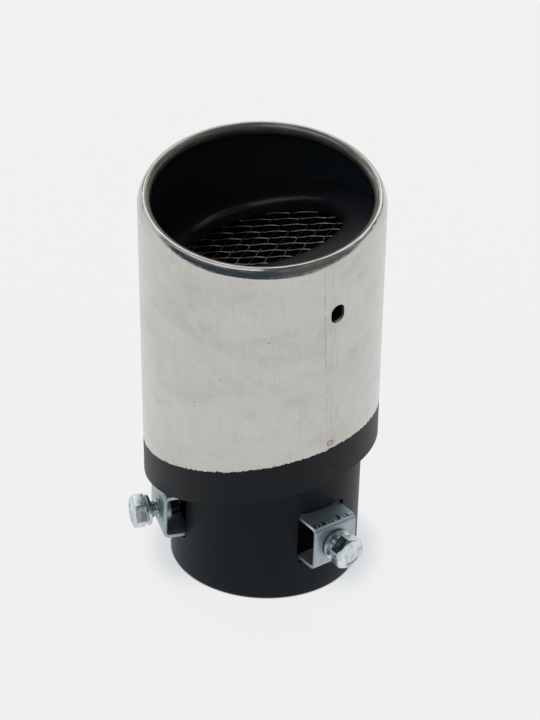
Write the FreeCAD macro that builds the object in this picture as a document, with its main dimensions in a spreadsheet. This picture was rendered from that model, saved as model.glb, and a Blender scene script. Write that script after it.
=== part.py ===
"""Slanted exhaust tip with three screw clamps, as a parametric document.

Frame: origin at the centre of the inlet pipe's cut end, +Z up the pipe, +X through the first clamp.
All lengths are in millimetres and all angles in degrees.
"""
import FreeCAD, Part
import math
import os

from FreeCAD import Vector

doc = FreeCAD.newDocument("exhaust_tip")

# Driving dimensions
SIZES = {
    "sheet": 1.0,
    "weld_gap": 0.05,
    # outer sleeve, in its own frame: origin at the centre of the slanted rear cut
    "sleeve_x": -1.29,
    "sleeve_y": -1.70,
    "sleeve_z": 38.75,
    "sleeve_lean": 9.75,
    "lean_azimuth": -44.05,
    "sleeve_turn": 0.4,
    "sleeve_r": 38.0,
    "sleeve_length": 104.4,
    "slant": 19.9,
    "rim_r": 2.0,
    "rim_turn": 232.6,
    "rim_gap": 0.1,
    "drain_drop": 22.2,
    "drain_width": 4.9,
    "drain_height": 6.7,
    # face plate, parallel to the rear cut
    "floor_drop": 0.744,
    "skirt": 10.0,
    "neck_r": 24.6,
    "neck_bend": 2.5,
    "neck_depth": 4.6,
    # mesh
    "mesh_lap": 1.0,
    "wire": 0.6,
    "mesh_pitch": 4.65,
    "mesh_turn": 33.3,
    # inlet pipe
    "pipe_inset": 7.24,
    "pipe_wall": 1.2,
    "pipe_length": 56.0,
    "window_z": 22.05,
    "window_width": 18.0,
    "window_height": 19.0,
    "window_corner": 1.5,
    # end plate
    "plate_recess": 1.0,
    "plate_skirt": 19.0,
    # clamps, with each one's turn about the pipe, its bracket's rise from the pipe and lift from the
    # window's middle, its screw's offset from the bracket's middle, and the head and washer seats
    "strap": 1.2,
    "strap_gap": 1.6,
    "strap_side": 0.9,
    "strap_bend": 1.0,
    "foot_gap": 0.23,
    "foot_height": 6.0,
    "tap_collar_wall": 1.55,
    "tap_collar_depth": 2.4,
    "screw_r": 3.0,
    "screw_gap": 0.05,
    "screw_length": 12.0,
    "head_flats": 10.0,
    "head_height": 4.0,
    "washer_gap": 0.3,
    "washer_width": 1.8,
    "washer_height": 1.6,
    "washer_split": 1.0,
    "clamp_1_turn": 0.0,
    "clamp_1_rise": 6.74,
    "clamp_1_lift": -0.05,
    "clamp_1_offset": 0.0,
    "clamp_1_head": 3.9,
    "clamp_1_washer": 0.1,
    "clamp_2_turn": -110.4,
    "clamp_2_rise": 5.84,
    "clamp_2_lift": -0.65,
    "clamp_2_offset": -1.2,
    "clamp_2_head": 4.6,
    "clamp_2_washer": 2.8,
    "clamp_3_turn": 124.5,
    "clamp_3_rise": 6.24,
    "clamp_3_lift": -0.35,
    "clamp_3_offset": -0.2,
    "clamp_3_head": 4.2,
    "clamp_3_washer": 0.1,
}
CLAMPS = (1, 2, 3)

sheet = doc.addObject("Spreadsheet::Sheet", "dims")
row = 1
for alias, value in SIZES.items():
    sheet.set("A%d" % row, alias)
    sheet.set("B%d" % row, repr(value))
    sheet.setAlias("B%d" % row, alias)
    row += 1
doc.recompute()


# Expressions
def q(text):
    """Point the plain names of the sheet in an expression at the sheet."""
    out = ""
    word = ""
    for ch in text + " ":
        if ch.isalnum() or ch == "_":
            word += ch
            continue
        out += "dims." + word if word in SIZES else word
        word = ""
        out += ch
    return out.strip()


def number(text):
    result = sheet.evalExpression(q(text))
    return float(getattr(result, "Value", result))


def place(x="0", y="0", z="0", axis="0; 0; 1", angle="0"):
    return q("create(<<placement>>; create(<<vector>>; %s; %s; %s); "
             "create(<<rotation>>; create(<<vector>>; %s); %s))" % (x, y, z, axis, angle))


LEAN_AXIS = "-sin(lean_azimuth); cos(lean_azimuth); 0"
SLEEVE = (place("sleeve_x", "sleeve_y", "sleeve_z", LEAN_AXIS, "sleeve_lean")
          + " * " + place(angle="sleeve_turn"))
# The plate's high side lies this drop below the rim, on the wall
FLOOR_Z = "(sleeve_length - sleeve_r * tan(slant) - floor_drop)"
PIPE_R = "(sleeve_r - pipe_inset)"
BORE_R = "(sleeve_r - sheet - weld_gap)"
FLOOR = SLEEVE + " * " + place(z=FLOOR_Z, axis="0; 1; 0", angle="-slant")
REAR = SLEEVE + " * " + place(z="plate_recess", axis="0; 1; 0", angle="-slant")


# Sketches
def plane(body, role):
    for feature in body.Origin.OriginFeatures:
        if feature.Role == role:
            return feature
    raise ValueError(role)


def sketch_in(body, name, role, offset=None):
    sketch = body.newObject("Sketcher::SketchObject", name)
    sketch.AttachmentSupport = [(plane(body, role), "")]
    sketch.MapMode = "FlatFace"
    if offset:
        sketch.setExpression("AttachmentOffset", offset)
    return sketch


def bind(sketch, pairs):
    """Add each constraint with the size that its expression gives, and keep the expression."""
    import Sketcher
    first = sketch.ConstraintCount
    sketch.addConstraint([Sketcher.Constraint(*start, number(text)) for start, text in pairs])
    for i, (start, text) in enumerate(pairs):
        sketch.setExpression("Constraints[%d]" % (first + i), q(text))


def outline(sketch, points):
    """Closed outline. Each point is (x, y) or (x, y, cx, cy, radius, turn): an arc leads on from it."""
    import Sketcher
    first = sketch.GeometryCount
    count = len(points)
    xy = [(number(p[0]), number(p[1])) for p in points]
    shapes = []
    ends = []
    for i, p in enumerate(points):
        a = Vector(xy[i][0], xy[i][1], 0)
        b = Vector(xy[(i + 1) % count][0], xy[(i + 1) % count][1], 0)
        if len(p) == 2:
            shapes.append(Part.LineSegment(a, b))
            ends.append((1, 2))
            continue
        centre = Vector(number(p[2]), number(p[3]), 0)
        start = math.atan2(a.y - centre.y, a.x - centre.x)
        stop = math.atan2(b.y - centre.y, b.x - centre.x)
        arc = Part.Circle(centre, Vector(0, 0, 1), (a - centre).Length)
        if p[5] > 0:
            shapes.append(Part.ArcOfCircle(arc, start, stop))
            ends.append((1, 2))
        else:
            shapes.append(Part.ArcOfCircle(arc, stop, start))
            ends.append((2, 1))
    sketch.addGeometry(shapes, False)
    joined = []
    pairs = []
    for i, p in enumerate(points):
        j = (i + 1) % count
        joined.append(Sketcher.Constraint(
            "Coincident", first + i, ends[i][1], first + j, ends[j][0]))
        pairs.append((("DistanceX", -1, 1, first + i, ends[i][0]), p[0]))
        pairs.append((("DistanceY", -1, 1, first + i, ends[i][0]), p[1]))
        if len(p) > 2:
            pairs.append((("Radius", first + i), p[4]))
    sketch.addConstraint(joined)
    bind(sketch, pairs)


def rectangle(sketch, x0, x1, y0, y1):
    outline(sketch, [(x0, y0), (x1, y0), (x1, y1), (x0, y1)])


def rounded(sketch, half_x, half_y, radius, y="0"):
    """Rectangle with rounded corners, centred on x = 0 and the given y."""
    x1, x0 = half_x, "-(%s)" % half_x
    y1, y0 = "%s + %s" % (y, half_y), "%s - (%s)" % (y, half_y)
    outline(sketch, [
        ("%s + %s" % (x0, radius), y0),
        ("%s - %s" % (x1, radius), y0, "%s - %s" % (x1, radius), "%s + %s" % (y0, radius), radius, 1),
        (x1, "%s + %s" % (y0, radius)),
        (x1, "%s - %s" % (y1, radius), "%s - %s" % (x1, radius), "%s - %s" % (y1, radius), radius, 1),
        ("%s - %s" % (x1, radius), y1),
        ("%s + %s" % (x0, radius), y1, "%s + %s" % (x0, radius), "%s - %s" % (y1, radius), radius, 1),
        (x0, "%s - %s" % (y1, radius)),
        (x0, "%s + %s" % (y0, radius), "%s + %s" % (x0, radius), "%s + %s" % (y0, radius), radius, 1),
    ])


def circle(sketch, radius):
    import Sketcher
    index = sketch.addGeometry(Part.Circle(Vector(0, 0, 0), Vector(0, 0, 1), number(radius)), False)
    sketch.addConstraint(Sketcher.Constraint("Coincident", index, 3, -1, 1))
    bind(sketch, [(("Radius", index), radius)])


# Features
def body(name, placement=None):
    result = doc.addObject("PartDesign::Body", name)
    result.Label = name
    if placement:
        result.setExpression("Placement", placement)
    return result


def revolve(owner, name, sketch, kind="Revolution"):
    feature = owner.newObject("PartDesign::" + kind, name)
    feature.Profile = sketch
    feature.ReferenceAxis = (sketch, ["V_Axis"])
    feature.Angle = 360.0
    sketch.Visibility = False
    return feature


def pad(owner, name, sketch, length, midplane=False, reverse=False):
    feature = owner.newObject("PartDesign::Pad", name)
    feature.Profile = sketch
    feature.setExpression("Length", q(length))
    feature.Midplane = midplane
    feature.Reversed = reverse
    return feature


def pocket(owner, name, sketch, length, reverse=False, midplane=False):
    doc.recompute()
    before = owner.Shape.Volume
    feature = owner.newObject("PartDesign::Pocket", name)
    feature.Profile = sketch
    feature.setExpression("Length", q(length))
    feature.Midplane = midplane
    feature.Reversed = reverse
    doc.recompute()
    if owner.Shape.Volume > before - 0.01:
        raise ValueError(name + " cuts nothing")
    return feature


def solid(kind, name, placement=None, **sizes):
    result = doc.addObject("Part::" + kind, name)
    for key, text in sizes.items():
        result.setExpression(key, q(text))
    if placement:
        result.setExpression("Placement", placement)
    return result


def cut(name, base, tool):
    result = doc.addObject("Part::Cut", name)
    result.Base = base
    result.Tool = tool
    return result


def common(name, base, tool):
    result = doc.addObject("Part::Common", name)
    result.Base = base
    result.Tool = tool
    return result


def fuse(name, shapes):
    result = doc.addObject("Part::MultiFuse", name)
    result.Shapes = shapes
    result.Refine = True
    return result


def tube(name, outer, inner, length, placement):
    return cut(name,
               solid("Cylinder", name + "_outer", placement, Radius=outer, Height=length),
               solid("Cylinder", name + "_inner", placement, Radius=inner, Height=length))


def slab(name, low, high):
    """Wide plate between two heights."""
    return solid("Box", name, place("-60", "-60", low), Length="120", Width="120",
                 Height="(%s) - (%s)" % (high, low))


# Outer sleeve: one sheet with its top edge curled inward and its rear edge cut at a slant
CX = "(sleeve_r - rim_r)"
CZ = "(sleeve_length - rim_r)"
TAIL_X = "(sleeve_r - sheet - 0.1)"


def curl(radius, steps):
    """Points of the curled edge at one radius, from the wall round to the curl's end."""
    angles = ["rim_turn * %d / %d" % (k, steps) for k in range(steps + 1)]
    return [("%s + (%s) * cos(%s)" % (CX, radius, angle), "%s + (%s) * sin(%s)" % (CZ, radius, angle))
            for angle in angles]


def tail_y(radius, x):
    """Height of the straight tail that runs on from the curl's end, at a distance from the axis."""
    end_x, end_y = curl(radius, 1)[1]
    return "%s + (%s - %s) * cos(rim_turn) / sin(rim_turn)" % (end_y, end_x, x)


outer_sleeve = body("outer_sleeve", SLEEVE)
profile = sketch_in(outer_sleeve, "sleeve_profile", "XZ_Plane")
outline(profile, [
    ("sleeve_r", "-20"),
    *curl("rim_r", 7),
    (TAIL_X, tail_y("rim_r", TAIL_X)),
    (TAIL_X, tail_y("(rim_r - sheet)", TAIL_X)),
    *reversed(curl("rim_r - sheet", 3)),
    ("sleeve_r - sheet", "-20"),
])
revolve(outer_sleeve, "sleeve_wall", profile)
profile = sketch_in(outer_sleeve, "rear_cut_profile", "XY_Plane", place(axis="0; 1; 0", angle="-slant"))
circle(profile, "60")
pocket(outer_sleeve, "rear_cut", profile, "60")
profile = sketch_in(outer_sleeve, "drain_profile", "YZ_Plane")
rounded(profile, "(drain_width / 2)", "(drain_height / 2)", "2.4", "(sleeve_length - drain_drop)")
pocket(outer_sleeve, "drain_hole", profile, "60", reverse=True)

# Face plate: slanted floor inside the mouth, with a skirt down the wall and a turned-down hole
back = place(z="-" + FLOOR_Z)
tilt = place(axis="0; 1; 0", angle="slant")
in_floor = tilt + " * " + place(z="-40")
skirt = common("floor_skirt",
               tube("floor_wall", BORE_R, BORE_R + " - sheet", "80", in_floor),
               slab("floor_skirt_band", "-sheet - skirt", "0"))
disc = common("floor_disc",
              solid("Cylinder", "floor_blank", in_floor, Radius=BORE_R, Height="80"),
              slab("floor_sheet", "-sheet", "0"))
opened = cut("floor_ring", disc, solid("Cylinder", "floor_hole", place(z="-10"),
                                       Radius="neck_r + neck_bend", Height="20"))


def turned(name, points, placement=None):
    """Solid of revolution about the vertical line of an upright sketch."""
    sketch = doc.addObject("Sketcher::SketchObject", name + "_profile")
    sketch.Placement = FreeCAD.Placement(Vector(0, 0, 0), FreeCAD.Rotation(Vector(1, 0, 0), 90))
    outline(sketch, points)
    result = doc.addObject("Part::Revolution", name)
    result.Source = sketch
    result.Axis = Vector(0, 0, 1)
    result.Base = Vector(0, 0, 0)
    result.Angle = 360.0
    result.Solid = True
    if placement:
        result.setExpression("Placement", placement)
    return result


def bend(radius, steps):
    """Points of the neck's quarter bend at one radius, from the flat plate down to the neck."""
    angles = ["90 + 90 * %d / %d" % (k, steps) for k in range(steps + 1)]
    return [("neck_r + neck_bend + (%s) * cos(%s)" % (radius, angle),
             "-neck_bend + (%s) * sin(%s)" % (radius, angle)) for angle in angles]


neck = turned("floor_neck", [
    ("neck_r + neck_bend + 0.6", "0"),
    *bend("neck_bend", 4),
    ("neck_r", "-neck_depth"),
    ("neck_r + sheet", "-neck_depth"),
    *reversed(bend("neck_bend - sheet", 2)),
    ("neck_r + neck_bend + 0.6", "-sheet"),
])
# The plate stops short of the curled rim where its high side meets it
CLEAR_R = "(rim_r + rim_gap)"
relief = turned("rim_relief", [
    ("sleeve_r", tail_y(CLEAR_R, "sleeve_r")),
    ("sleeve_r", "sleeve_length + 5"),
    (CX, "sleeve_length + 5"),
    *curl(CLEAR_R, 7)[3:],
], tilt + " * " + back)
face_plate = cut("face_plate", fuse("floor_pressing", [skirt, opened, neck]), relief)
face_plate.Label = "face_plate"
face_plate.setExpression("Placement", FLOOR)

# Mesh screen: square wire mesh cut to a disc and welded under the neck of the face plate
MESH_R = "(neck_r + mesh_lap)"
wires = []
reach = int(number(MESH_R) / number("mesh_pitch"))
for k in range(-reach, reach + 1):
    across = "%d * mesh_pitch - wire / 2" % k
    name = "%s%d" % ("low" if k < 0 else "high", abs(k))
    wires.append(solid("Box", "mesh_row_" + name, place("-" + MESH_R, across, "-wire / 2"),
                       Length="2 * " + MESH_R, Width="wire", Height="wire"))
    wires.append(solid("Box", "mesh_column_" + name, place(across, "-" + MESH_R, "-wire / 2"),
                       Length="wire", Width="2 * " + MESH_R, Height="wire"))
mesh_screen = common("mesh_screen", fuse("mesh_wires", wires),
                     solid("Cylinder", "mesh_disc", place(z="-wire / 2"), Radius=MESH_R, Height="wire"))
mesh_screen.Label = "mesh_screen"
mesh_screen.setExpression("Placement", FLOOR + " * " + place(z="-neck_depth - wire / 2",
                                                            angle="mesh_turn"))

# Inlet pipe: black tube with three windows for the clamps
inlet_pipe = body("inlet_pipe")
profile = sketch_in(inlet_pipe, "pipe_profile", "XZ_Plane")
rectangle(profile, PIPE_R + " - pipe_wall", PIPE_R, "0", "pipe_length")
revolve(inlet_pipe, "pipe_wall_tube", profile)
for n in CLAMPS:
    turn = place(axis="0; 1; 0", angle="clamp_%d_turn" % n)
    profile = sketch_in(inlet_pipe, "window_%d_profile" % n, "YZ_Plane", turn)
    rounded(profile, "(window_width / 2)", "(window_height / 2)", "window_corner", "window_z")
    pocket(inlet_pipe, "window_%d" % n, profile, "60", reverse=True)

# End plate: closes the slanted rear of the sleeve around the pipe
to_pipe = "minvert(" + REAR + ")"
in_rear = tilt + " * " + place(z="-40")
wall = common("rear_skirt", tube("rear_wall", BORE_R, BORE_R + " - sheet", "100", in_rear),
              slab("rear_skirt_band", "0", "plate_skirt"))
ring = cut("rear_ring",
           common("rear_disc", solid("Cylinder", "rear_blank", in_rear, Radius=BORE_R, Height="100"),
                  slab("rear_sheet", "0", "sheet")),
           solid("Cylinder", "rear_hole", to_pipe, Radius=PIPE_R + " + weld_gap", Height="100"))
end_plate = fuse("end_plate", [wall, ring])
end_plate.Label = "end_plate"
end_plate.setExpression("Placement", REAR)

# Clamps: a hat-shaped bracket in each window, held by its feet, and a screw with a split washer
STRAP_WIDTH = "(window_width - 2 * strap_side)"
TOP = "(window_height / 2 - strap_gap)"
FOOT = "(%s + foot_height)" % TOP
FOOT_R = "(sqrt((%s - pipe_wall)^2 - (%s / 2)^2) - foot_gap)" % (PIPE_R, STRAP_WIDTH)
ROUND = "(strap_bend + strap)"
WASHER_BORE = "(screw_r + washer_gap)"
results = [outer_sleeve, face_plate, mesh_screen, inlet_pipe, end_plate]


def hat(face):
    """Outline of the bent strap, x outward and y up, drawn once round."""
    foot_mid, top_mid = "%s + strap_bend" % FOOT_R, "%s + strap_bend" % TOP
    face_mid, leg_mid = "%s - %s" % (face, ROUND), "(%s - %s)" % (TOP, ROUND)
    right = [
        (FOOT_R, FOOT),
        (FOOT_R, top_mid, foot_mid, top_mid, "strap_bend", 1),
        (foot_mid, TOP),
        (face_mid, TOP, face_mid, leg_mid, ROUND, -1),
        (face, leg_mid),
        (face, "-" + leg_mid, face_mid, "-" + leg_mid, ROUND, -1),
        (face_mid, "-" + TOP),
        (foot_mid, "-" + TOP, foot_mid, "-(%s)" % top_mid, "strap_bend", 1),
        (FOOT_R, "-(%s)" % top_mid),
        (FOOT_R, "-" + FOOT),
    ]
    inner = "(%s - strap)" % FOOT_R
    left = [
        (inner, "-" + FOOT),
        (inner, "-(%s)" % top_mid, foot_mid, "-(%s)" % top_mid, ROUND, -1),
        (foot_mid, "strap - %s" % TOP),
        (face_mid, "strap - %s" % TOP, face_mid, "-" + leg_mid, "strap_bend", 1),
        ("%s - strap" % face, "-" + leg_mid),
        ("%s - strap" % face, leg_mid, face_mid, leg_mid, "strap_bend", 1),
        (face_mid, "%s - strap" % TOP),
        (foot_mid, "%s - strap" % TOP, foot_mid, top_mid, ROUND, -1),
        (inner, top_mid),
        (inner, FOOT),
    ]
    return right + left


for n in CLAMPS:
    own = "clamp_%d_" % n
    turn = own + "turn"
    face = "(%s + %srise)" % (PIPE_R, own)
    head_seat = "(%s + %shead)" % (face, own)
    washer_seat = "(%s + %swasher)" % (face, own)
    middle = "(window_z + %slift)" % own
    upright = place(axis="0; 1; 0", angle="90")
    outward = place(z="%s + %soffset" % (middle, own), angle=turn) + " * " + upright

    bracket = body(own + "bracket", place(z=middle, angle=turn))
    profile = sketch_in(bracket, own + "strap_profile", "XZ_Plane")
    outline(profile, hat(face))
    pad(bracket, own + "strap", profile, STRAP_WIDTH, midplane=True)
    tapped = place(z=own + "offset") + " * " + upright + " * "
    profile = sketch_in(bracket, own + "collar_profile", "XY_Plane",
                        tapped + place(z=face + " - strap - tap_collar_depth"))
    circle(profile, "screw_r + screw_gap + tap_collar_wall")
    pad(bracket, own + "tap_collar", profile, "tap_collar_depth + strap / 2")
    profile = sketch_in(bracket, own + "tap_profile", "XY_Plane", tapped + place(z=face))
    circle(profile, "screw_r + screw_gap")
    pocket(bracket, own + "tapped_hole", profile, "8")

    prism = solid("Prism", own + "hex", place(z=head_seat), Circumradius="head_flats / sqrt(3)",
                  Height="head_height")
    prism.Polygon = 6
    chamfer = solid("Cone", own + "head_chamfer", place(z=head_seat),
                    Radius1="0.47 * head_flats + head_height * sqrt(3)", Radius2="0.47 * head_flats",
                    Height="head_height")
    shank = solid("Cylinder", own + "shank", place(z=head_seat + " - screw_length"), Radius="screw_r",
                  Height="screw_length")
    bolt = fuse(own + "bolt", [common(own + "head_body", prism, chamfer), shank])
    bolt.Label = own + "bolt"
    bolt.setExpression("Placement", outward)

    blank = tube(own + "washer_ring", WASHER_BORE + " + washer_width", WASHER_BORE, "washer_height",
                 place(z=washer_seat))
    split = solid("Box", own + "split", place("-8", "-washer_split / 2", washer_seat + " - 2",
                                              "1; 0; 0", "20"),
                  Length="8", Width="washer_split", Height="6")
    washer = cut(own + "spring_washer", blank, split)
    washer.Label = own + "spring_washer"
    washer.setExpression("Placement", outward)
    results += [bracket, bolt, washer]

# Checks and files
doc.recompute()
for item in doc.Objects:
    if "Invalid" in item.State or "Error" in item.State:
        raise ValueError("%s: %s" % (item.Name, item.State))
for item in results:
    if item.Shape.isNull() or not item.Shape.isValid() or len(item.Shape.Solids) != 1:
        raise ValueError("%s has no single valid solid" % item.Label)

os.makedirs("parts", exist_ok=True)
for item in results:
    item.Shape.exportStep("parts/%s.step" % item.Label)
    print("%-24s %10.1f mm3" % (item.Label, item.Shape.Volume))
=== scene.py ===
"""Looks of a clamp-on exhaust tip: polished sleeve, black mouth with a wire mesh, black pipe and
zinc-plated clamps."""
import math

import bmesh
import bpy
from mathutils import Euler, Matrix, Vector


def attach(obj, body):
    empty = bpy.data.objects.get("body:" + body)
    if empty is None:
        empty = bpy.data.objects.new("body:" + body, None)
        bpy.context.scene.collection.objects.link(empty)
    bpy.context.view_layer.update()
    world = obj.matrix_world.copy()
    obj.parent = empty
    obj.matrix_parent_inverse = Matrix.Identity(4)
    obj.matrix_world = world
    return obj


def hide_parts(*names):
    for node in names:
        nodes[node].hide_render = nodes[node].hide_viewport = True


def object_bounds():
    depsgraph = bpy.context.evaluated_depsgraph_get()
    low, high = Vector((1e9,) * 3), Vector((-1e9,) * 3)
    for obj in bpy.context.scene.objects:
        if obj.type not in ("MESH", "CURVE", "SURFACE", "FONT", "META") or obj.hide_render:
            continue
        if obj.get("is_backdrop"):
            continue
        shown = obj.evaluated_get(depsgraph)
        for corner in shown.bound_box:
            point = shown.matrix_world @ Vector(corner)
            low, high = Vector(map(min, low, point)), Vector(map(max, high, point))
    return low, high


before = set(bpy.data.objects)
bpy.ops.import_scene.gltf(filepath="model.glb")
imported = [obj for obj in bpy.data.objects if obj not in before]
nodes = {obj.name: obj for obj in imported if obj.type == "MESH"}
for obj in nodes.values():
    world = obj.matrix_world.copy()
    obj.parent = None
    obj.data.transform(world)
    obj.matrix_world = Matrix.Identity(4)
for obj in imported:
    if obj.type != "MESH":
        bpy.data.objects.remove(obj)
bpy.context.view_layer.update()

# The photographer's stand: a seamless pale sheet under and behind the tip, a large soft light
# overhead, and a long lens above the front. The room on the camera's side is dim.
CAMERA_AT = (0.6292, -0.48858, 0.55906)
CAMERA_TURN = (58.5212, -1.7229, 53.2227)
CAMERA_LENS = 145.87
scene = bpy.context.scene
camera = bpy.data.objects.new("camera", bpy.data.cameras.new("camera"))
scene.collection.objects.link(camera)
camera.location = CAMERA_AT
camera.rotation_euler = Euler([math.radians(a) for a in CAMERA_TURN])
camera.data.lens = CAMERA_LENS
camera.data.sensor_width = 36
camera.data.sensor_fit = "AUTO"
camera.data.clip_start = 0.01
scene.camera = camera
scene.view_settings.view_transform = "Standard"
scene.view_settings.look = "None"


def new_object(name, mesh):
    obj = bpy.data.objects.new(name, mesh)
    scene.collection.objects.link(obj)
    return obj


class Value:
    """A shader number that can be used in sums."""

    def __init__(self, finish, socket):
        self.finish, self.socket = finish, socket

    def math(self, operation, *others, swap=False):
        values = [self] + list(others)
        if swap:
            values = values[::-1]
        return self.finish.node("ShaderNodeMath", {"operation": operation}, values)

    def __add__(self, other):
        return self.math("ADD", other)

    def __radd__(self, other):
        return self.math("ADD", other)

    def __sub__(self, other):
        return self.math("SUBTRACT", other)

    def __rsub__(self, other):
        return self.math("SUBTRACT", other, swap=True)

    def __mul__(self, other):
        return self.math("MULTIPLY", other)

    def __rmul__(self, other):
        return self.math("MULTIPLY", other)

    def __truediv__(self, other):
        return self.math("DIVIDE", other)

    def __rtruediv__(self, other):
        return self.math("DIVIDE", other, swap=True)

    def __pow__(self, other):
        return self.math("POWER", other)

    def __abs__(self):
        return self.math("ABSOLUTE")

    def step(self, low, high):
        """0 below low, 1 above high, smooth between; low may be the larger."""
        return self.finish.node("ShaderNodeMapRange", {"interpolation_type": "SMOOTHSTEP"},
                                {"Value": self, "From Min": low, "From Max": high})

    def near(self, centre, width):
        """1 at the centre, 0 at that distance from it."""
        return abs(self - centre).step(width, 0.0)


class Finish:
    """A procedural material with one principled surface."""

    def __init__(self, name, world=False):
        if world:
            self.holder = bpy.data.worlds.new(name)
        else:
            self.holder = bpy.data.materials.new(name)
        self.holder.use_nodes = True
        self.tree = self.holder.node_tree
        if not world:
            self.shader = self.tree.nodes["Principled BSDF"]

    def node(self, kind, settings=None, inputs=None, output=0):
        made = self.tree.nodes.new(kind)
        for key, value in (settings or {}).items():
            setattr(made, key, value)
        pairs = inputs.items() if isinstance(inputs, dict) else enumerate(inputs or [])
        for key, value in pairs:
            self.put(made.inputs[key], value)
        return Value(self, made.outputs[output])

    def put(self, socket, value):
        if isinstance(value, Value):
            self.tree.links.new(value.socket, socket)
        else:
            socket.default_value = value

    def split(self, vector):
        """The three parts of a vector."""
        parts = self.tree.nodes.new("ShaderNodeSeparateXYZ")
        self.tree.links.new(vector.socket, parts.inputs[0])
        return [Value(self, s) for s in parts.outputs]

    def place(self, origin=(0, 0, 0), turn=(0, 0, 0)):
        """Position in millimetres in a piece's own frame, and its three parts."""
        coords = self.node("ShaderNodeTexCoord", output=3)
        own = self.node("ShaderNodeMapping", {"vector_type": "TEXTURE"},
                        [coords, tuple(origin), tuple(turn), (0.001, 0.001, 0.001)])
        return own, self.split(own)

    def join(self, x, y, z):
        return self.node("ShaderNodeCombineXYZ", None, [x, y, z])

    def noise(self, where, size, detail=2.0, rough=0.5, twist=0.0):
        return self.node("ShaderNodeTexNoise", None, {
            "Vector": where, "Scale": 1.0 / size, "Detail": detail, "Roughness": rough,
            "Distortion": twist})

    def mix(self, factor, first, second):
        """Blend of two colours."""
        colours = [c if isinstance(c, Value) else (*c, 1.0) for c in (first, second)]
        return self.node("ShaderNodeMix", {"data_type": "RGBA"},
                         {0: factor, 6: colours[0], 7: colours[1]}, output=2)

    def number(self, factor, first, second):
        return self.node("ShaderNodeMix", {"data_type": "FLOAT"}, {0: factor, 2: first, 3: second})

    def bump(self, height, distance, strength=1.0):
        """Normal from a height from 0 to 1 that stands for a distance in millimetres."""
        return self.node("ShaderNodeBump", None, {
            "Strength": strength, "Distance": distance / 1000.0, "Height": height})

    def surface(self, **values):
        for key, value in values.items():
            name = key.replace("_", " ")
            if isinstance(value, tuple) and len(value) == 3:
                value = (*value, 1.0)
            self.put(self.shader.inputs[name], value)
        return self.holder


def area_light(name, place, target, size, power):
    light = bpy.data.lights.new(name, "AREA")
    light.shape = "RECTANGLE"
    light.size, light.size_y = size
    light.energy = power
    obj = new_object(name, light)
    obj.location = place
    obj.rotation_euler = (Vector(target) - Vector(place)).to_track_quat("-Z", "Y").to_euler()


# Directions on the floor are measured from the camera's side: ahead is away from it
AHEAD = Vector((-0.7986, 0.6018, 0.0))
RIGHT = Vector((0.6018, 0.7986, 0.0))
ROOM_STRENGTH = 0.86
room = Finish("room", world=True)
dx, dy, dz = room.split(room.node("ShaderNodeTexCoord", output=0))
toward = dx * -AHEAD.x + dy * -AHEAD.y
aside = dx * RIGHT.x + dy * RIGHT.y
# Things stand about the room above the horizon, dark in its bright part and pale in its dim part.
# They are there for the rim to mirror.
things = room.noise(room.join(dx, dy, dz * 0.5), 0.24, 3.0, 0.6, 0.8).step(0.45, 0.55)
things = things * dz.step(0.10, 0.30)
bright_part = room.mix(things * 0.9, (0.96, 0.985, 1.0), (0.13, 0.12, 0.11))
dark_part = room.mix(aside.step(0.05, 0.55), (0.066, 0.086, 0.113), (0.17, 0.16, 0.145))
dark_part = room.mix(things * 0.7, dark_part, (0.30, 0.30, 0.30))
# A window high on the camera's left lights the near side of the rim
window = toward.step(0.04, 0.14) * dz.step(0.46, 0.54) * dz.step(0.985, 0.965)
window = window * aside.step(0.03, -0.05)
dark_part = room.mix(window, dark_part, (1.05, 1.08, 1.10))
dim = toward.step(-0.10, 0.22).math("MAXIMUM", dz.step(0.84, 0.93))
back = room.tree.nodes["Background"]
room.put(back.inputs["Color"], room.mix(dim, bright_part, dark_part))
room.put(back.inputs["Strength"], ROOM_STRENGTH)
scene.world = room.holder

LIGHT_AT = AHEAD * 0.75 + Vector((0, 0, 1.3))
area_light("overhead", LIGHT_AT, target=(0, 0, 0.08), size=(1.3, 0.9), power=4.2)

# The sheet glows, as an overexposed one does, and ends a forearm's length before the tip. Its soft
# shade beside the foot and the dark under the open pipe are part of that glow.
SHEET_FRONT = 0.42
SHEET_BACK = 15
SHEET_SIDE = 9
SHEET_Z = -0.0002
GLOW = 0.842
corners = [AHEAD * a + RIGHT * r for a, r in ((-SHEET_FRONT, -SHEET_SIDE), (-SHEET_FRONT, SHEET_SIDE),
                                              (SHEET_BACK, SHEET_SIDE), (SHEET_BACK, -SHEET_SIDE))]
mesh = bpy.data.meshes.new("floor")
mesh.from_pydata([(c.x, c.y, SHEET_Z) for c in corners], [], [(0, 1, 2, 3)])
floor = new_object("floor", mesh)
sheet = Finish("pale_sheet")
x, y, z = sheet.place()[1]
away = (x * x + y * y) ** 0.5
front = (x * -AHEAD.x + y * -AHEAD.y) / away
shade = away.step(42.0, 30.5) * front.step(0.90, 0.40) * 0.27
glow = sheet.mix(shade, (GLOW, GLOW, GLOW), (0.08, 0.20, 0.26))
glow = sheet.mix(away.step(31.2, 30.2), glow, (0.0, 0.0, 0.0))
floor.data.materials.append(sheet.surface(
    Base_Color=(0.025, 0.025, 0.025), Roughness=0.9, Emission_Color=glow, Emission_Strength=1.0))
floor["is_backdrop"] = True


# The outer sleeve is a 76 mm tube of thin stainless steel. Its top edge is rolled inward, its rear
# edge is cut at a slant, and it leans on the pipe. The outside is polished and still has smears from
# the polishing wheel. The rear band and the inside are sprayed black.
SHEET = 1.0
SLEEVE_R = 38.0
LENGTH = 104.4
SLANT = math.radians(19.9)
RIM_R = 2.0
RIM_TURN = math.radians(232.6)
BAND = 14.3
SLEEVE_AT = Vector((-1.29, -1.70, 38.75))
LEAN = math.radians(9.75)
LEAN_WAY = math.radians(-44.05)
LEAN_AXIS = Vector((-math.sin(LEAN_WAY), math.cos(LEAN_WAY), 0))
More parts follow.
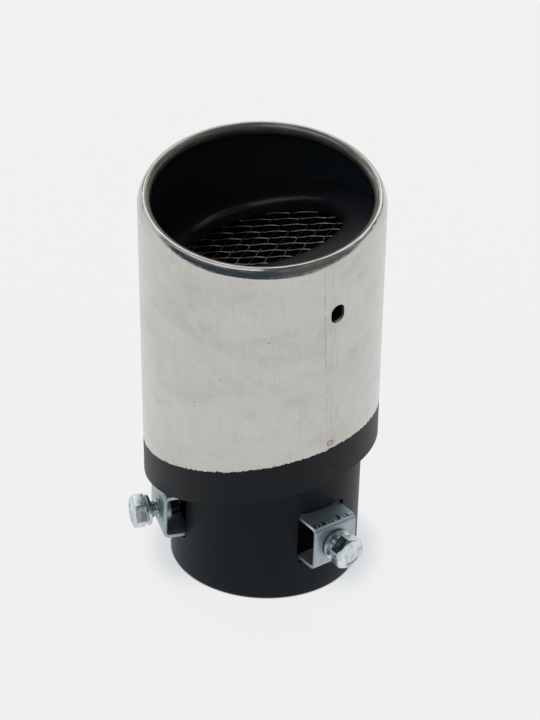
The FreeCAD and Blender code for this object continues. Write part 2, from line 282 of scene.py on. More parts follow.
SLEEVE_SPIN = math.radians(0.4)
SLEEVE = (Matrix.Translation(SLEEVE_AT) @ Matrix.Rotation(LEAN, 4, LEAN_AXIS)
          @ Matrix.Rotation(SLEEVE_SPIN, 4, "Z"))
MM = Matrix.Scale(0.001, 4)


def grid_mesh(name, rows, closed=True):
    """Closed mesh from rings of points: each row is one ring, and the last row joins the first."""
    count = len(rows[0])
    points = [p for row in rows for p in row]
    faces = []
    last = len(rows) if closed else len(rows) - 1
    for i in range(last):
        k = (i + 1) % len(rows)
        for j in range(count):
            m = (j + 1) % count
            faces.append((i * count + j, i * count + m, k * count + m, k * count + j))
    mesh = bpy.data.meshes.new(name)
    mesh.from_pydata(points, [], faces)
    return mesh


def full_turn(count):
    """Angles of a full turn in equal steps."""
    return [2 * math.pi * j / count for j in range(count)]


def arc(cx, cy, radius, start, stop, steps):
    """Points of a circle's arc from one angle to another."""
    return [(cx + radius * math.cos(start + (stop - start) * i / steps),
             cy + radius * math.sin(start + (stop - start) * i / steps)) for i in range(steps + 1)]


def outward(mesh):
    """Turn the faces of a closed mesh outward and merge doubles."""
    work = bmesh.new()
    work.from_mesh(mesh)
    bmesh.ops.remove_doubles(work, verts=work.verts, dist=1e-5)
    bmesh.ops.recalc_face_normals(work, faces=work.faces)
    work.to_mesh(mesh)
    work.free()


def settle(obj, step):
    """Make the mesh that this modifier gives the piece's own."""
    bpy.context.view_layer.update()
    made = bpy.data.meshes.new_from_object(obj.evaluated_get(bpy.context.evaluated_depsgraph_get()))
    obj.modifiers.remove(step)
    old = obj.data
    obj.data = made
    bpy.data.meshes.remove(old)


def cut_out(obj, cutter):
    """Cut a closed mesh out of the piece."""
    tool = new_object("cutter", cutter)
    step = obj.modifiers.new("cut", "BOOLEAN")
    step.operation = "DIFFERENCE"
    step.solver = "EXACT"
    step.object = tool
    settle(obj, step)
    bpy.data.objects.remove(tool)
    bpy.data.meshes.remove(cutter)


def smooth(mesh, angle=35.0):
    """Smooth shading with sharp edges kept above that angle."""
    mesh.shade_smooth()
    mesh.set_sharp_from_angle(angle=math.radians(angle))


def seat(obj, matrix, body, node, material=None):
    """Put a piece made in millimetres in its place, on its body and in the stead of its node."""
    obj.data.transform(MM @ matrix)
    if material:
        obj.data.materials.clear()
        obj.data.materials.append(material)
    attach(obj, body)
    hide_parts(node)


def block(x0, x1, outline):
    """Closed bar from x0 to x1 with that outline in y and z."""
    mesh = bpy.data.meshes.new("block")
    n = len(outline)
    points = [(x0, y, z) for y, z in outline] + [(x1, y, z) for y, z in outline]
    faces = [tuple(range(n)), tuple(range(2 * n - 1, n - 1, -1))]
    faces += [(i, (i + 1) % n, n + (i + 1) % n, n + i) for i in range(n)]
    mesh.from_pydata(points, [], faces)
    outward(mesh)
    return mesh


def rounded_outline(half_y, half_z, radius, z=0.0, steps=8):
    points = []
    for i, (sy, sz) in enumerate(((1, 1), (-1, 1), (-1, -1), (1, -1))):
        points += arc(sy * (half_y - radius), z + sz * (half_z - radius), radius,
                      math.pi / 2 * i, math.pi / 2 * (i + 1), steps)
    return points


# Rows run up the wall, over the roll and down the inside. SIDE is the angle on the roll's section
# where its deeper outer side ends, and SUPPORT is the last row of the wall under it.
TURN = full_turn(288)
HOLE_BELOW = 22.2
SIDE = math.radians(50)
SUPPORT = 0.998
rim_x, rim_z = SLEEVE_R - RIM_R, LENGTH - RIM_R
curl = arc(rim_x, rim_z, RIM_R, math.pi / 2, RIM_TURN, 24)
inner_curl = arc(rim_x, rim_z, RIM_R - SHEET, RIM_TURN, 0.0, 24)
tail_r = SLEEVE_R - SHEET - 0.1


def straight_end(start, r):
    """Point at that radius where the roll runs on straight from its end."""
    slope = -math.cos(RIM_TURN) / math.sin(RIM_TURN)
    return (r, start[1] + (r - start[0]) * slope)


def roll_depth(a):
    """The hand-rolled rim reaches further down the wall at the front than at the back."""
    return 2.9 + 0.6 * max(0.0, math.cos(a)) ** 6


fixed = curl + [straight_end(curl[-1], tail_r), straight_end(inner_curl[0], tail_r)] + inner_curl
rows = []
for t in [i / 24 for i in range(24)] + [SUPPORT]:
    rows.append([(SLEEVE_R * math.cos(a), SLEEVE_R * math.sin(a),
                  (1 - t) * math.tan(SLANT) * SLEEVE_R * math.cos(a) + t * (LENGTH - roll_depth(a)))
                 for a in TURN])
for t in [SIDE + (math.pi / 2 - SIDE) * i / 20 for i in range(20)]:
    r = rim_x + RIM_R * math.cos(t) / math.cos(SIDE)
    low = (1 - math.sin(t)) / (1 - math.sin(SIDE))
    rows.append([(r * math.cos(a), r * math.sin(a), LENGTH - low * roll_depth(a)) for a in TURN])
for r, z in fixed:
    rows.append([(r * math.cos(a), r * math.sin(a), z) for a in TURN])
inner = SLEEVE_R - SHEET
for t in [i / 12 for i in range(11, -1, -1)]:
    rows.append([(inner * math.cos(a), inner * math.sin(a),
                  (1 - t) * math.tan(SLANT) * inner * math.cos(a) + t * rim_z) for a in TURN])
mesh = grid_mesh("outer_sleeve_looks", rows)
outward(mesh)
sleeve = new_object("polished_sleeve", mesh)
cut_out(sleeve, block(30, 45, rounded_outline(2.45, 3.35, 2.4, z=LENGTH - HOLE_BELOW, steps=10)))
smooth(sleeve.data, 40)

# Places on the wall are known by their angle, by the girth along it and by the depth below the mouth
steel = Finish("polished_steel")
own, (x, y, z) = steel.place(SLEEVE_AT / 1000, SLEEVE.to_euler())
angle = steel.node("ShaderNodeMath", {"operation": "ARCTAN2"}, [y, x])
degrees = angle * (180.0 / math.pi)
radius = (x * x + y * y) ** 0.5
girth = angle * SLEEVE_R
below = LENGTH - z
height = z - x * math.tan(SLANT)


def from_spot(turn, down):
    """Distance along the wall from a spot at that angle in degrees and that far below the mouth."""
    return ((girth - math.radians(turn) * SLEEVE_R) ** 2 + (below - down) ** 2) ** 0.5


# Paint covers the rear band up to a ragged edge, and the inside up to the roll. The hole's cut edge
# is bare.
ragged = (steel.noise(own, 2.4, 3.0, 0.65) - 0.5) * 1.1
ragged = ragged + (steel.noise(own, 0.8, 2.0, 0.6) - 0.5) * 1.5
painted = (height + ragged).step(BAND + 0.12, BAND - 0.12)
bare = girth.near(0.0, 3.4) * (below - HOLE_BELOW).near(0.0, 4.6)
inside = (radius + bare.step(0.0, 0.05) * 0.45).step(37.6, 37.4) * below.step(5.2, 5.6)
black = painted.math("MAXIMUM", inside)

# The bare steel has blotches, warm and cool clouds, fine hairlines round the tube and specks
blotch = steel.noise(steel.join(x * 0.8, y * 0.8, z * 1.3), 15.0, 6.0, 0.66, 0.5).step(0.42, 0.70)
warm = steel.noise(own, 7.0, 5.0, 0.68, 0.4).step(0.48, 0.75)
hair = steel.noise(steel.join(x * 0.35, y * 0.35, z * 5.0), 1.6, 3.0, 0.7)
specks = steel.node("ShaderNodeTexVoronoi", {"feature": "F1"}, {"Vector": own, "Scale": 0.16})
speck = specks.step(0.055, 0.03)
grazing_reflection = steel.node("ShaderNodeLayerWeight", None, [0.5], output=1)
colour = steel.mix(blotch * 0.8, (0.575, 0.57, 0.545), (0.50, 0.478, 0.43))
colour = steel.mix(warm * 0.34, colour, (0.46, 0.42, 0.35))
cool = steel.noise(own, 13.0, 4.0, 0.6, 0.6).step(0.52, 0.72)
colour = steel.mix(cool * 0.35, colour, (0.64, 0.65, 0.64))
colour = steel.mix(hair.step(0.35, 0.75) * 0.22, colour, (0.66, 0.655, 0.64))
# Painted reflection: the steel turns paler and bluer where it is seen edge-on, at the silhouettes
colour = steel.mix(grazing_reflection.step(0.6, 0.97) * 0.4, colour, (0.55, 0.585, 0.60))
# The lengthways seam runs a little askew, with the polishing wheel's marks beside it
seam_at = -7.6 + (below - 8.7) * 0.0527
seam_gap = abs(degrees - seam_at) * (SLEEVE_R * math.pi / 180.0)
broken = steel.noise(steel.join(0.0, z, 0.0), 2.6, 3.0, 0.7)
seam = seam_gap.step(0.16, 0.03) * broken.step(0.42, 0.56) * below.step(3.0, 6.0)
wheel = steel.noise(steel.join(x * 2.2, y * 2.2, z * 0.06), 1.0, 3.0, 0.6)
beside = (degrees - seam_at - 3.0).near(0.0, 6.0)
colour = steel.mix(wheel.step(0.48, 0.68) * (beside * 0.4 + 0.17), colour, (0.40, 0.39, 0.365))
colour = steel.mix(seam * (0.75 - below.step(15.0, 60.0) * 0.4), colour, (0.06, 0.055, 0.05))
# One spot weld has left a brown ring, and another a dimple under the paint
weld = from_spot(-2.4, 74.0)
colour = steel.mix(weld.near(0.95, 0.5) * 0.8, colour, (0.20, 0.10, 0.06))
colour = steel.mix(weld.step(0.7, 0.2) * 0.5, colour, (0.40, 0.33, 0.28))
colour = steel.mix(speck * 0.7, colour, (0.08, 0.07, 0.06))
# The inner half of the roll is coloured a darker brown, in patches
lip = radius.step(rim_x + 0.3, rim_x - 0.5) * below.step(5.6, 5.2)
lip_patches = steel.noise(steel.join(x * 0.12, y * 0.12 + radius, below), 1.2, 3.0, 0.6, 0.4).step(0.30, 0.62)
colour = steel.mix(lip * (0.55 + lip_patches * 0.4), colour, (0.17, 0.152, 0.13))
# Painted fill light: the paint inside the mouth is a paler black than the same paint on the rear band
paint = steel.mix(inside, (0.0046, 0.0080, 0.0112), (0.021, 0.026, 0.031))
dimple = from_spot(-1.6, 87.4)
# The dimple's rim has a painted highlight and its hollow a painted shade
paint = steel.mix(dimple.near(1.3, 0.45) * 0.5, paint, (0.03, 0.036, 0.042))
paint = steel.mix(dimple.step(1.0, 0.7) * 0.7, paint, (0.001, 0.0015, 0.002))
# The roll's outer side is the shiniest, with streaks along it
smear = steel.noise(own, 14.0, 3.0, 0.6, 0.8)
bead = below.step(3.4, 3.0)
streak = steel.noise(steel.join(x * 0.06, y * 0.06 + radius * 1.6, below * 1.6), 0.5, 3.0, 0.6)
shine = steel.number(bead, steel.number(smear, 0.20, 0.32), steel.number(streak, 0.015, 0.07))
shine = steel.number(lip, shine, 0.15)
shine = steel.number(bare.step(0.0, 0.05) * radius.step(37.95, 37.85), shine, 0.5)
grain = steel.noise(own, 0.35, 2.0, 0.6)
orange = steel.noise(own, 1.1, 2.0)
steel_relief = hair * 0.06 + bead * streak.step(0.3, 0.7) * 0.22
paint_relief = orange * 0.12 + grain * 0.10 - dimple.step(1.5, 0.5) * 0.8 + 0.6
relief = steel.number(black, steel_relief, paint_relief)
steel_material = steel.surface(
    Base_Color=steel.mix(black, colour, paint),
    Metallic=(1.0 - black) * (1.0 - lip * 0.5),
    Roughness=steel.number(black, shine, 0.42),
    Specular_IOR_Level=0.13,
    Normal=steel.bump(relief, 0.06, 0.6))
seat(sleeve, SLEEVE, "tip", "outer_sleeve", steel_material)


# The face plate is a pressed steel floor inside the mouth, parallel to the rear cut. Its edge turns
# down against the sleeve, and the round hole in it is turned down to a short neck. All of it is
# sprayed black with the inside of the sleeve.
FLOOR_Z = 89.9
NECK_R = 24.6
BEND = 2.5
NECK = 4.6
SKIRT = 10.0
EDGE_BEND = 1.6
FLOOR = SLEEVE @ Matrix.Translation((0, 0, FLOOR_Z)) @ Matrix.Rotation(-SLANT, 4, "Y")
edge_r = SLEEVE_R - SHEET - 0.05


def on_wall(angle, radius, drop):
    """Point of the tube around the sleeve's axis at that distance below the floor's plane."""
    x, y = radius * math.cos(angle), radius * math.sin(angle)
    z = x * math.tan(SLANT) - drop / math.cos(SLANT)
    return (x * math.cos(SLANT) + z * math.sin(SLANT), y, -x * math.sin(SLANT) + z * math.cos(SLANT))


def floor_rings(offset):
    """Rings from the neck's foot over the bend and the floor, and down the skirt.

    The offset is the depth in the sheet.
    """
    rings = []
    neck = [(NECK_R + offset, -NECK)]
    neck += [(NECK_R + BEND - (BEND - offset) * math.cos(t), -BEND + (BEND - offset) * math.sin(t))
             for t in [math.pi / 2 * i / 12 for i in range(13)]]
    for r, z in neck:
        rings.append([(r * math.cos(a), r * math.sin(a), z) for a in TURN])
    reach = edge_r - EDGE_BEND
    first = rings[-1]
    for share in (0.25, 0.5, 0.75, 1.0):
        ring = []
        for a, p in zip(TURN, first):
            edge = on_wall(a, reach, offset)
            ring.append(tuple(p[k] + (edge[k] - p[k]) * share for k in range(3)))
        rings.append(ring)
    for i in range(1, 9):
        t = math.pi / 2 * i / 8
        rings.append([on_wall(a, reach + (EDGE_BEND - offset) * math.sin(t),
                              EDGE_BEND - (EDGE_BEND - offset) * math.cos(t)) for a in TURN])
    rings.append([on_wall(a, edge_r - offset, SKIRT + SHEET) for a in TURN])
    return rings


mesh = grid_mesh("face_plate_looks", floor_rings(0.0) + floor_rings(SHEET)[::-1])
outward(mesh)
plate = new_object("black_face_plate", mesh)
# The plate is cut away where the sleeve's roll comes down to it
room_r = RIM_R + 0.1
start = (rim_x + room_r * math.cos(RIM_TURN), rim_z + room_r * math.sin(RIM_TURN))
ring_profile = ([(rim_x, LENGTH + 5)] + arc(rim_x, rim_z, room_r, math.pi / 2, RIM_TURN, 24)
                + [straight_end(start, SLEEVE_R), (SLEEVE_R, LENGTH + 5)])
mesh = grid_mesh("rim_room", [[(r * math.cos(a), r * math.sin(a), z) for a in TURN]
                              for r, z in ring_profile])
mesh.transform(Matrix.Rotation(SLANT, 4, "Y") @ Matrix.Translation((0, 0, -FLOOR_Z)))
outward(mesh)
cut_out(plate, mesh)
smooth(plate.data, 40)
black_inside = Finish("black_inside")
own = black_inside.place()[0]
dust = black_inside.noise(own, 5.0, 4.0, 0.6)
fine = black_inside.noise(own, 0.5, 2.0)
plate_material = black_inside.surface(
    Base_Color=black_inside.mix(dust.step(0.35, 0.75), (0.011, 0.013, 0.0155), (0.014, 0.016, 0.019)),
    Roughness=black_inside.number(dust, 0.18, 0.25), Specular_IOR_Level=0.32,
    Normal=black_inside.bump(fine, 0.02, 0.5))
seat(plate, FLOOR, "tip", "face_plate", plate_material)


# The mesh screen is woven from bright drawn wire, cut to a disc and spot-welded under the neck of
# the face plate. Each wire passes over one crossing wire and under the next.
MESH_DROP = 4.9
MESH_R = 25.4
WIRE = 0.34
PITCH = 4.65
ROWS = 11
MESH_TURN = math.radians(33.3)


def tree_with(name, inputs):
    tree = bpy.data.node_groups.new(name, "GeometryNodeTree")
    for label, kind, value in inputs:
        socket = tree.interface.new_socket(label, in_out="INPUT", socket_type="NodeSocket" + kind)
        if value is not None:
            socket.default_value = value
    tree.interface.new_socket("Geometry", in_out="OUTPUT", socket_type="NodeSocketGeometry")
    return tree


class Build:
    """Short way to add geometry nodes to a tree."""

    def __init__(self, tree):
        self.tree = tree
        self.start = tree.nodes.new("NodeGroupInput")
        self.end = tree.nodes.new("NodeGroupOutput")

    def __call__(self, kind, settings=None, inputs=None, output=0):
        made = self.tree.nodes.new(kind)
        for key, value in (settings or {}).items():
            setattr(made, key, value)
        pairs = inputs.items() if isinstance(inputs, dict) else enumerate(inputs or [])
        for key, value in pairs:
            if isinstance(value, bpy.types.NodeSocket):
                self.tree.links.new(value, made.inputs[key])
            else:
                made.inputs[key].default_value = value
        return made.outputs[output]

    def sum(self, operation, *values):
        return self("ShaderNodeMath", {"operation": operation}, values)


tree = tree_with("woven_wires", [("Radius", "Float", MESH_R), ("Pitch", "Float", PITCH),
                                 ("Wire", "Float", WIRE), ("Rows", "Int", ROWS),
                                 ("Material", "Material", None)])
add = Build(tree)
given = {s.name: s for s in add.start.outputs}
families = []
for sign in (1.0, -1.0):
    span = add.sum("MULTIPLY", given["Pitch"], add.sum("MULTIPLY", add.sum(
        "SUBTRACT", given["Rows"], 1.0), -0.5))
    line = add("GeometryNodeMeshLine", None, {
        "Count": given["Rows"],
        "Start Location": add("ShaderNodeCombineXYZ", None, [0.0, span, 0.0]),
        "Offset": add("ShaderNodeCombineXYZ", None, [0.0, given["Pitch"], 0.0])})
    place = add("ShaderNodeSeparateXYZ", None, [add("GeometryNodeInputPosition")], 1)
    chord = add.sum("SQRT", add.sum("MAXIMUM", 0.0, add.sum(
        "SUBTRACT", add.sum("MULTIPLY", given["Radius"], given["Radius"]),
        add.sum("MULTIPLY", place, place))))
    strand = add("GeometryNodeResampleCurve", None, {
        "Curve": add("GeometryNodeCurvePrimitiveLine", None, {
            "Start": (-1, 0, 0), "End": (1, 0, 0)}), "Count": 110})
    laid = add("GeometryNodeInstanceOnPoints", None, {
        "Points": line, "Instance": strand,
        "Scale": add("ShaderNodeCombineXYZ", None, [chord, 1.0, 1.0])})
    laid = add("GeometryNodeRealizeInstances", None, {"Geometry": laid})
    spot = add.tree.nodes.new("ShaderNodeSeparateXYZ")
    tree.links.new(add("GeometryNodeInputPosition"), spot.inputs[0])
    waves = [add.sum("COSINE", add.sum("MULTIPLY", add.sum("DIVIDE", s, given["Pitch"]), math.pi))
             for s in spot.outputs[:2]]
    lift = add.sum("MULTIPLY", add.sum("MULTIPLY", *waves),
                   add.sum("MULTIPLY", given["Wire"], 0.45 * sign))
    laid = add("GeometryNodeSetPosition", None, {
        "Geometry": laid, "Offset": add("ShaderNodeCombineXYZ", None, [0.0, 0.0, lift])})
    ring = add("GeometryNodeCurvePrimitiveCircle", None, {
        "Resolution": 8, "Radius": add.sum("MULTIPLY", given["Wire"], 0.5)})
    tube = add("GeometryNodeCurveToMesh", None, {"Curve": laid, "Profile Curve": ring,
                                                 "Fill Caps": True})
    if sign < 0:
        tube = add("GeometryNodeTransform", None, {
            "Geometry": tube, "Rotation": (0, 0, math.pi / 2)})
    families.append(tube)
both = add.tree.nodes.new("GeometryNodeJoinGeometry")
for tube in families:
    tree.links.new(tube, both.inputs[0])
shaded = add("GeometryNodeSetShadeSmooth", None, {"Geometry": both.outputs[0]})
shaded = add("GeometryNodeRealizeInstances", None, {"Geometry": shaded})
shaded = add("GeometryNodeSetMaterial", None, {"Geometry": shaded, "Material": given["Material"]})
tree.links.new(shaded, add.end.inputs[0])


def grown(name, tree, **values):
    """Plain mesh that a geometry tree makes with these inputs."""
    obj = new_object(name, bpy.data.meshes.new(name))
    step = obj.modifiers.new("grow", "NODES")
    step.node_group = tree
    for item in tree.interface.items_tree:
        if item.in_out == "INPUT" and item.name in values:
            step[item.identifier] = values[item.name]
    settle(obj, step)
    return obj


SCREEN = FLOOR @ Matrix.Translation((0, 0, -MESH_DROP)) @ Matrix.Rotation(MESH_TURN, 4, "Z")
# The wires that run across are painted darker than the rows as painted shade, since only the rows catch
# the light
wire_finish = Finish("drawn_wire")
own, (x, y, z) = wire_finish.place(SCREEN.translation / 1000, SCREEN.to_euler())
dull = wire_finish.noise(own, 3.0, 3.0, 0.6)
shaded_across = abs(y - (y / PITCH).math("ROUND") * PITCH).step(0.22, 0.34)
colour = wire_finish.mix(dull.step(0.4, 0.7), (0.36, 0.36, 0.37), (0.08, 0.08, 0.08))
wire_material = wire_finish.surface(
    Base_Color=wire_finish.mix(shaded_across * 0.72, colour, (0.02, 0.02, 0.02)),
    Metallic=1.0, Roughness=wire_finish.number(dull, 0.22, 0.40))
screen = grown("wire_mesh", tree, Radius=MESH_R, Pitch=PITCH, Wire=WIRE, Rows=ROWS,
               Material=wire_material)
seat(screen, SCREEN, "tip", "mesh_screen")


# The inlet pipe is a welded steel tube that the vehicle's tail pipe goes into. It is cut square, has
# three punched windows for the clamps, and is sprayed satin black inside and out.
PIPE_R = 30.76
PIPE_WALL = 1.2
PIPE_TOP = 56.0
WINDOW_W = 18.0
WINDOW_H = 19.0
WINDOW_CORNER = 1.5
WINDOW_Z = 22.05
PIPE_EDGE = 0.18
CLAMP_TURN = {1: 0.0, 2: -110.4, 3: 124.5}
bore_r = PIPE_R - PIPE_WALL
outline = (arc(PIPE_R - PIPE_EDGE, PIPE_EDGE, PIPE_EDGE, -math.pi / 2, 0.0, 4)
           + [(PIPE_R, PIPE_TOP * i / 12) for i in range(1, 12)]
           + [(PIPE_R, PIPE_TOP), (bore_r, PIPE_TOP)]
           + [(bore_r, PIPE_TOP * i / 4) for i in (3, 2, 1)]
           + arc(bore_r + PIPE_EDGE, PIPE_EDGE, PIPE_EDGE, math.pi, math.pi * 1.5, 4))
mesh = grid_mesh("pipe_looks", [[(r * math.cos(a), r * math.sin(a), z) for a in TURN]
                                for r, z in outline])
outward(mesh)
pipe = new_object("black_pipe", mesh)
for turn in CLAMP_TURN.values():
    tool = block(20, 40, rounded_outline(WINDOW_W / 2, WINDOW_H / 2, WINDOW_CORNER, WINDOW_Z, 6))
    tool.transform(Matrix.Rotation(math.radians(turn), 4, "Z"))
    cut_out(pipe, tool)
smooth(pipe.data, 40)
satin = Finish("satin_black")
own, (x, y, z) = satin.place()
cloud = satin.noise(own, 12.0, 3.0, 0.6)
peel = satin.noise(own, 0.9, 2.0)
grit = satin.noise(own, 0.25, 2.0)
chips = satin.node("ShaderNodeTexVoronoi", {"feature": "F1"}, {"Vector": own, "Scale": 0.2})
colour = satin.mix(cloud.step(0.35, 0.7), (0.0050, 0.0090, 0.0125), (0.0060, 0.0100, 0.0135))
worn = z.step(0.5, 0.1) * satin.noise(own, 1.5, 3.0, 0.7).step(0.5, 0.62)
colour = satin.mix(worn * 0.5, colour, (0.10, 0.10, 0.10))
colour = satin.mix(chips.step(0.05, 0.03) * 0.3, colour, (0.08, 0.08, 0.08))
satin_material = satin.surface(
    Base_Color=colour, Roughness=satin.number(cloud, 0.40, 0.46), Specular_IOR_Level=0.13,
    Normal=satin.bump(peel * 0.6 + grit * 0.4, 0.02, 0.5))
seat(pipe, Matrix.Identity(4), "tip", "inlet_pipe", satin_material)


# The end plate closes the slanted rear of the sleeve around the pipe. It is a plain pressing,
# spot-welded inside the sleeve and sprayed black with it.
end_plate = nodes["end_plate"]
end_plate.data.materials.clear()
end_plate.data.materials.append(satin_material)


# Each clamp bracket is a strip of zinc-plated steel bent to a hat. Its feet sit behind the pipe's
# wall, its top stands out through the window, and the screw goes through a tapped collar in it.
STRAP = 1.2
STRAP_W = 16.2
STRAP_H = 15.8
STRAP_BEND = 1.0
FOOT_R = 28.2
FOOT_H = 6.0
BORE = 3.1
COLLAR_IN = 3.08
COLLAR_OUT = 4.6
COLLAR_DEEP = 2.4
CLAMPS = {
    1: {"face": 37.5, "strap_z": 22.0, "screw_z": 22.0, "head": 41.4, "washer": 37.6, "spin": 12.0},
    2: {"face": 36.6, "strap_z": 21.4, "screw_z": 20.2, "head": 41.2, "washer": 39.4, "spin": 18.0},
    3: {"face": 37.0, "strap_z": 21.7, "screw_z": 21.5, "head": 41.2, "washer": 37.1, "spin": 5.0},
}


def hat_outline(face):
    """Side view of the bracket, x outward and z up."""
    top, foot, wide = STRAP_H / 2, STRAP_H / 2 + FOOT_H, STRAP_BEND + STRAP
    quarter = math.pi / 2
    upper = ([(FOOT_R, foot)]
             + arc(FOOT_R + STRAP_BEND, top + STRAP_BEND, STRAP_BEND, 2 * quarter, 3 * quarter, 6)
             + arc(face - wide, top - wide, wide, quarter, 0.0, 10))
    lower = [(x, -z) for x, z in upper[::-1]]
    inner_low = ([(FOOT_R - STRAP, -foot)]
                 + arc(FOOT_R + STRAP_BEND, -top - STRAP_BEND, wide, 2 * quarter, quarter, 10)
                 + arc(face - wide, wide - top, STRAP_BEND, -quarter, 0.0, 6))
    inner_high = [(x, -z) for x, z in inner_low[::-1]]
    return upper + lower + inner_low + inner_high


def tube_mesh(inner, outer, low, high, soft, steps=64):
    """Ring with softened edges around the x axis, from low to high."""
    outline = (arc(low + soft, outer - soft, soft, math.pi, math.pi / 2, 3)
               + arc(high - soft, outer - soft, soft, math.pi / 2, 0.0, 3)
               + arc(high - soft, inner + soft, soft, 0.0, -math.pi / 2, 3)
               + arc(low + soft, inner + soft, soft, -math.pi / 2, -math.pi, 3))
    mesh = grid_mesh("ring", [[(x, r * math.cos(a), r * math.sin(a)) for a in full_turn(steps)]
                              for x, r in outline])
    outward(mesh)
    return mesh


def joined(name, meshes):
    """One mesh from several closed shells."""
    work = bmesh.new()
    for mesh in meshes:
        work.from_mesh(mesh)
        bpy.data.meshes.remove(mesh)
    made = bpy.data.meshes.new(name)
    work.to_mesh(made)
    work.free()
    return made


zinc = Finish("blue_zinc")
own, (x, y, z) = zinc.place()
cloud = zinc.noise(own, 5.0, 4.0, 0.6, 0.4)
fine = zinc.noise(own, 0.35, 3.0, 0.6)
colour = zinc.mix(cloud.step(0.3, 0.75), (0.36, 0.435, 0.475), (0.47, 0.53, 0.55))
# Painted light: the upper face of each strap is coloured paler than its front, as lit from above
colour = zinc.mix(z.step(28.9, 29.2), colour, (0.66, 0.79, 0.86))
# Black spray ran over the front edge of the right clamp's top in small points
peaks = zinc.noise(zinc.join(y, 0.0, 0.0), 1.5, 1.0).step(0.42, 0.72) * 2.6
drips = (x - 36.2 + peaks).step(0.0, 0.35) * z.step(29.45, 29.7) * x.step(37.25, 36.95)
colour = zinc.mix(drips * 0.93, colour, (0.012, 0.014, 0.016))
zinc_material = zinc.surface(
    Base_Color=colour, Metallic=0.85, Roughness=zinc.number(cloud, 0.36, 0.48),
    Normal=zinc.bump(fine, 0.02, 0.5))

# The screws and washers are brighter and patchy, and darkened near the pipe as painted shade inside the
# bracket
bright = Finish("bright_zinc")
own, (x, y, z) = bright.place()
patch = bright.noise(own, 3.4, 4.0, 0.6, 0.6).step(0.34, 0.70)
fine = bright.noise(own, 0.3, 3.0, 0.6)
dents = bright.noise(own, 1.3, 2.0, 0.5, 0.5)
colour = bright.mix(patch, (0.40, 0.48, 0.53), (0.78, 0.83, 0.84))
# Painted shade where the screw sits inside the bracket
shade_near_pipe = ((x * x + y * y) ** 0.5).step(36.4, 35.2)
colour = bright.mix(shade_near_pipe * 0.85, colour, (0.03, 0.03, 0.032))
screw_zinc = bright.surface(
    Base_Color=colour, Metallic=0.97, Roughness=bright.number(patch, 0.18, 0.30),
    Normal=bright.bump(dents * 0.8 + fine * 0.2, 0.014, 0.8))

for n, sizes in CLAMPS.items():
    face = sizes["face"]
    side = hat_outline(face)
    strip = block(-STRAP_W / 2, STRAP_W / 2, side)
    strip.transform(Matrix(((0, 1, 0, 0), (1, 0, 0, 0), (0, 0, 1, 0), (0, 0, 0, 1))))
    outward(strip)
    bracket = new_object("clamp_%d_strap" % n, strip)
    rise = sizes["screw_z"] - sizes["strap_z"]
    drill = block(face - 3, face + 3, [(BORE * math.cos(a), rise + BORE * math.sin(a))
                                       for a in full_turn(48)])
    cut_out(bracket, drill)
    collar = tube_mesh(COLLAR_IN, COLLAR_OUT, face - STRAP - COLLAR_DEEP, face - STRAP + 0.3, 0.2)
    collar.transform(Matrix.Translation((0, 0, rise)))
    bracket.data = joined("clamp_%d_strap" % n, [bracket.data.copy(), collar])
    soften = bracket.modifiers.new("edges", "BEVEL")
    soften.width = 0.16
    soften.segments = 2
    soften.limit_method = "ANGLE"
    soften.angle_limit = math.radians(50)
    settle(bracket, soften)
    smooth(bracket.data, 40)
    placed = (Matrix.Rotation(math.radians(CLAMP_TURN[n]), 4, "Z")
              @ Matrix.Translation((0, 0, sizes["strap_z"])))
    seat(bracket, placed, "tip", "clamp_%d_bracket" % n, zinc_material)


# Each screw is a cold-formed M6 hex screw, zinc plated, with a dished plain head. A split washer
# sits loose on it, and its sprung ends stand apart.
HEAD = 4.0
FLATS = 10.0
SCREW_R = 3.0
SCREW = 12.0
THREAD = 1.0
THREAD_DEEP = 0.58
WASHER = 1.05
WASHER_IN = 3.35
WASHER_OUT = 5.1
WASHER_FREE = 0.5


def hex_radius(angle):
    """Distance from the axis to the side of the hexagon, with softened corners."""
    part = (angle + math.pi / 6) % (math.pi / 3) - math.pi / 6
    return min(FLATS / 2 / math.cos(part), FLATS / 2 / math.cos(math.pi / 6) * 0.985)


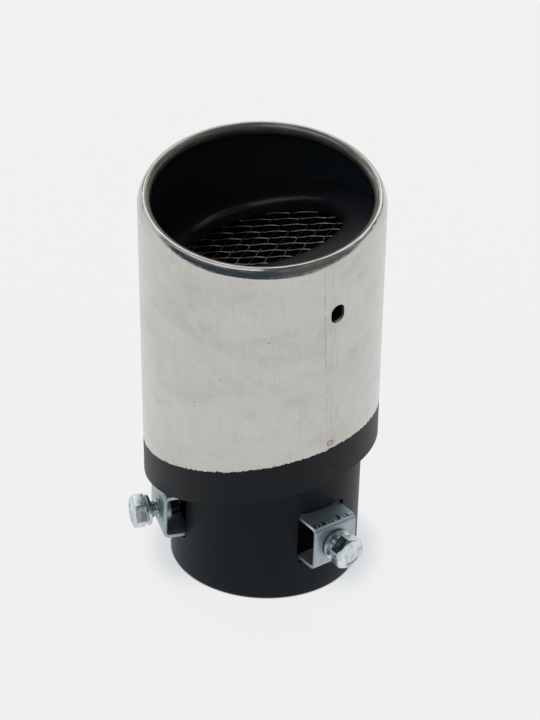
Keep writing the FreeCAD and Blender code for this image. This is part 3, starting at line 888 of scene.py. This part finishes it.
def bolt_mesh():
    """Screw along the x axis, its head's underside at 0: dished top, chamfer, hexagon and thread."""
    flat_r = 0.47 * FLATS
    fall = math.tan(math.radians(30))
    shank = SCREW_R - 0.05
    threaded = SCREW - 0.9
    angles = full_turn(144)
    rings = []

    def ring(radius, x):
        rings.append([(x(a) if callable(x) else x,
                       (radius(a) if callable(radius) else radius) * math.cos(a),
                       (radius(a) if callable(radius) else radius) * math.sin(a)) for a in angles])

    for radius, sunk in ((0.001, 0.32), (2.0, 0.32), (3.3, 0.30), (3.6, 0.16), (3.8, 0.02)):
        ring(radius, HEAD - sunk)
    ring(4.0, HEAD)
    ring(flat_r, HEAD)
    for share in (0.3, 0.65, 1.0):
        ring(lambda a, s=share: flat_r + (hex_radius(a) - flat_r) * s,
             lambda a, s=share: HEAD - (hex_radius(a) - flat_r) * s * fall)
    ring(hex_radius, lambda a: HEAD - 0.15 - (hex_radius(a) - flat_r) * fall)
    ring(hex_radius, 0.5)
    ring(hex_radius, 0.22)
    ring(lambda a: hex_radius(a) - 0.18, 0.06)
    ring(4.5, 0.0)
    ring(shank, 0.0)
    count = int(threaded / THREAD * 10)
    for i in range(1, count + 1):
        x = -0.2 - threaded * i / count
        row = []
        for a in angles:
            phase = (x / THREAD - a / (2 * math.pi)) % 1.0
            tooth = min(1.0, max(0.0, abs(phase - 0.5) * 2.5 - 0.12))
            fade = min(1.0, (-x - 0.2) / 0.8)
            r = shank - THREAD_DEEP * tooth * fade
            row.append((x, r * math.cos(a), r * math.sin(a)))
        rings.append(row)
    ring(2.2, -SCREW)
    ring(0.001, -SCREW)
    mesh = grid_mesh("screw", rings, closed=False)
    outward(mesh)
    return mesh


def split_washer(height, inner, outer, free):
    """Split washer around the x axis, its two ends apart along the axis."""
    steps = 80
    gap = math.radians(10)
    rings = []
    for i in range(steps + 1):
        a = gap / 2 + (2 * math.pi - gap) * i / steps - math.pi / 2
        lift = free * i / steps
        ring = []
        for x, r in ((0.1, inner), (0.0, inner + 0.1), (0.0, outer - 0.15), (0.15, outer),
                     (height - 0.15, outer), (height, outer - 0.15), (height, inner + 0.1),
                     (height - 0.1, inner)):
            ring.append((x + lift, r * math.cos(a), r * math.sin(a)))
        rings.append(ring)
    mesh = grid_mesh("split", rings, closed=False)
    work = bmesh.new()
    work.from_mesh(mesh)
    bmesh.ops.holes_fill(work, edges=[e for e in work.edges if e.is_boundary])
    work.to_mesh(mesh)
    work.free()
    outward(mesh)
    return mesh


for n, sizes in CLAMPS.items():
    outward_x = (Matrix.Rotation(math.radians(CLAMP_TURN[n]), 4, "Z")
                 @ Matrix.Translation((0, 0, sizes["screw_z"])))
    spin = Matrix.Rotation(math.radians(sizes["spin"]), 4, "X")
    bolt = new_object("clamp_%d_hex_screw" % n, bolt_mesh())
    smooth(bolt.data, 28)
    seat(bolt, outward_x @ Matrix.Translation((sizes["head"], 0, 0)) @ spin, "clamp_%d_screw" % n,
         "clamp_%d_bolt" % n, screw_zinc)
    washer = new_object("clamp_%d_split_washer" % n,
                        split_washer(WASHER, WASHER_IN, WASHER_OUT, WASHER_FREE))
    smooth(washer.data, 40)
    seat(washer, outward_x @ Matrix.Translation((sizes["washer"], 0, 0)), "clamp_%d_washer" % n,
         "clamp_%d_spring_washer" % n, screw_zinc)

low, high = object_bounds()
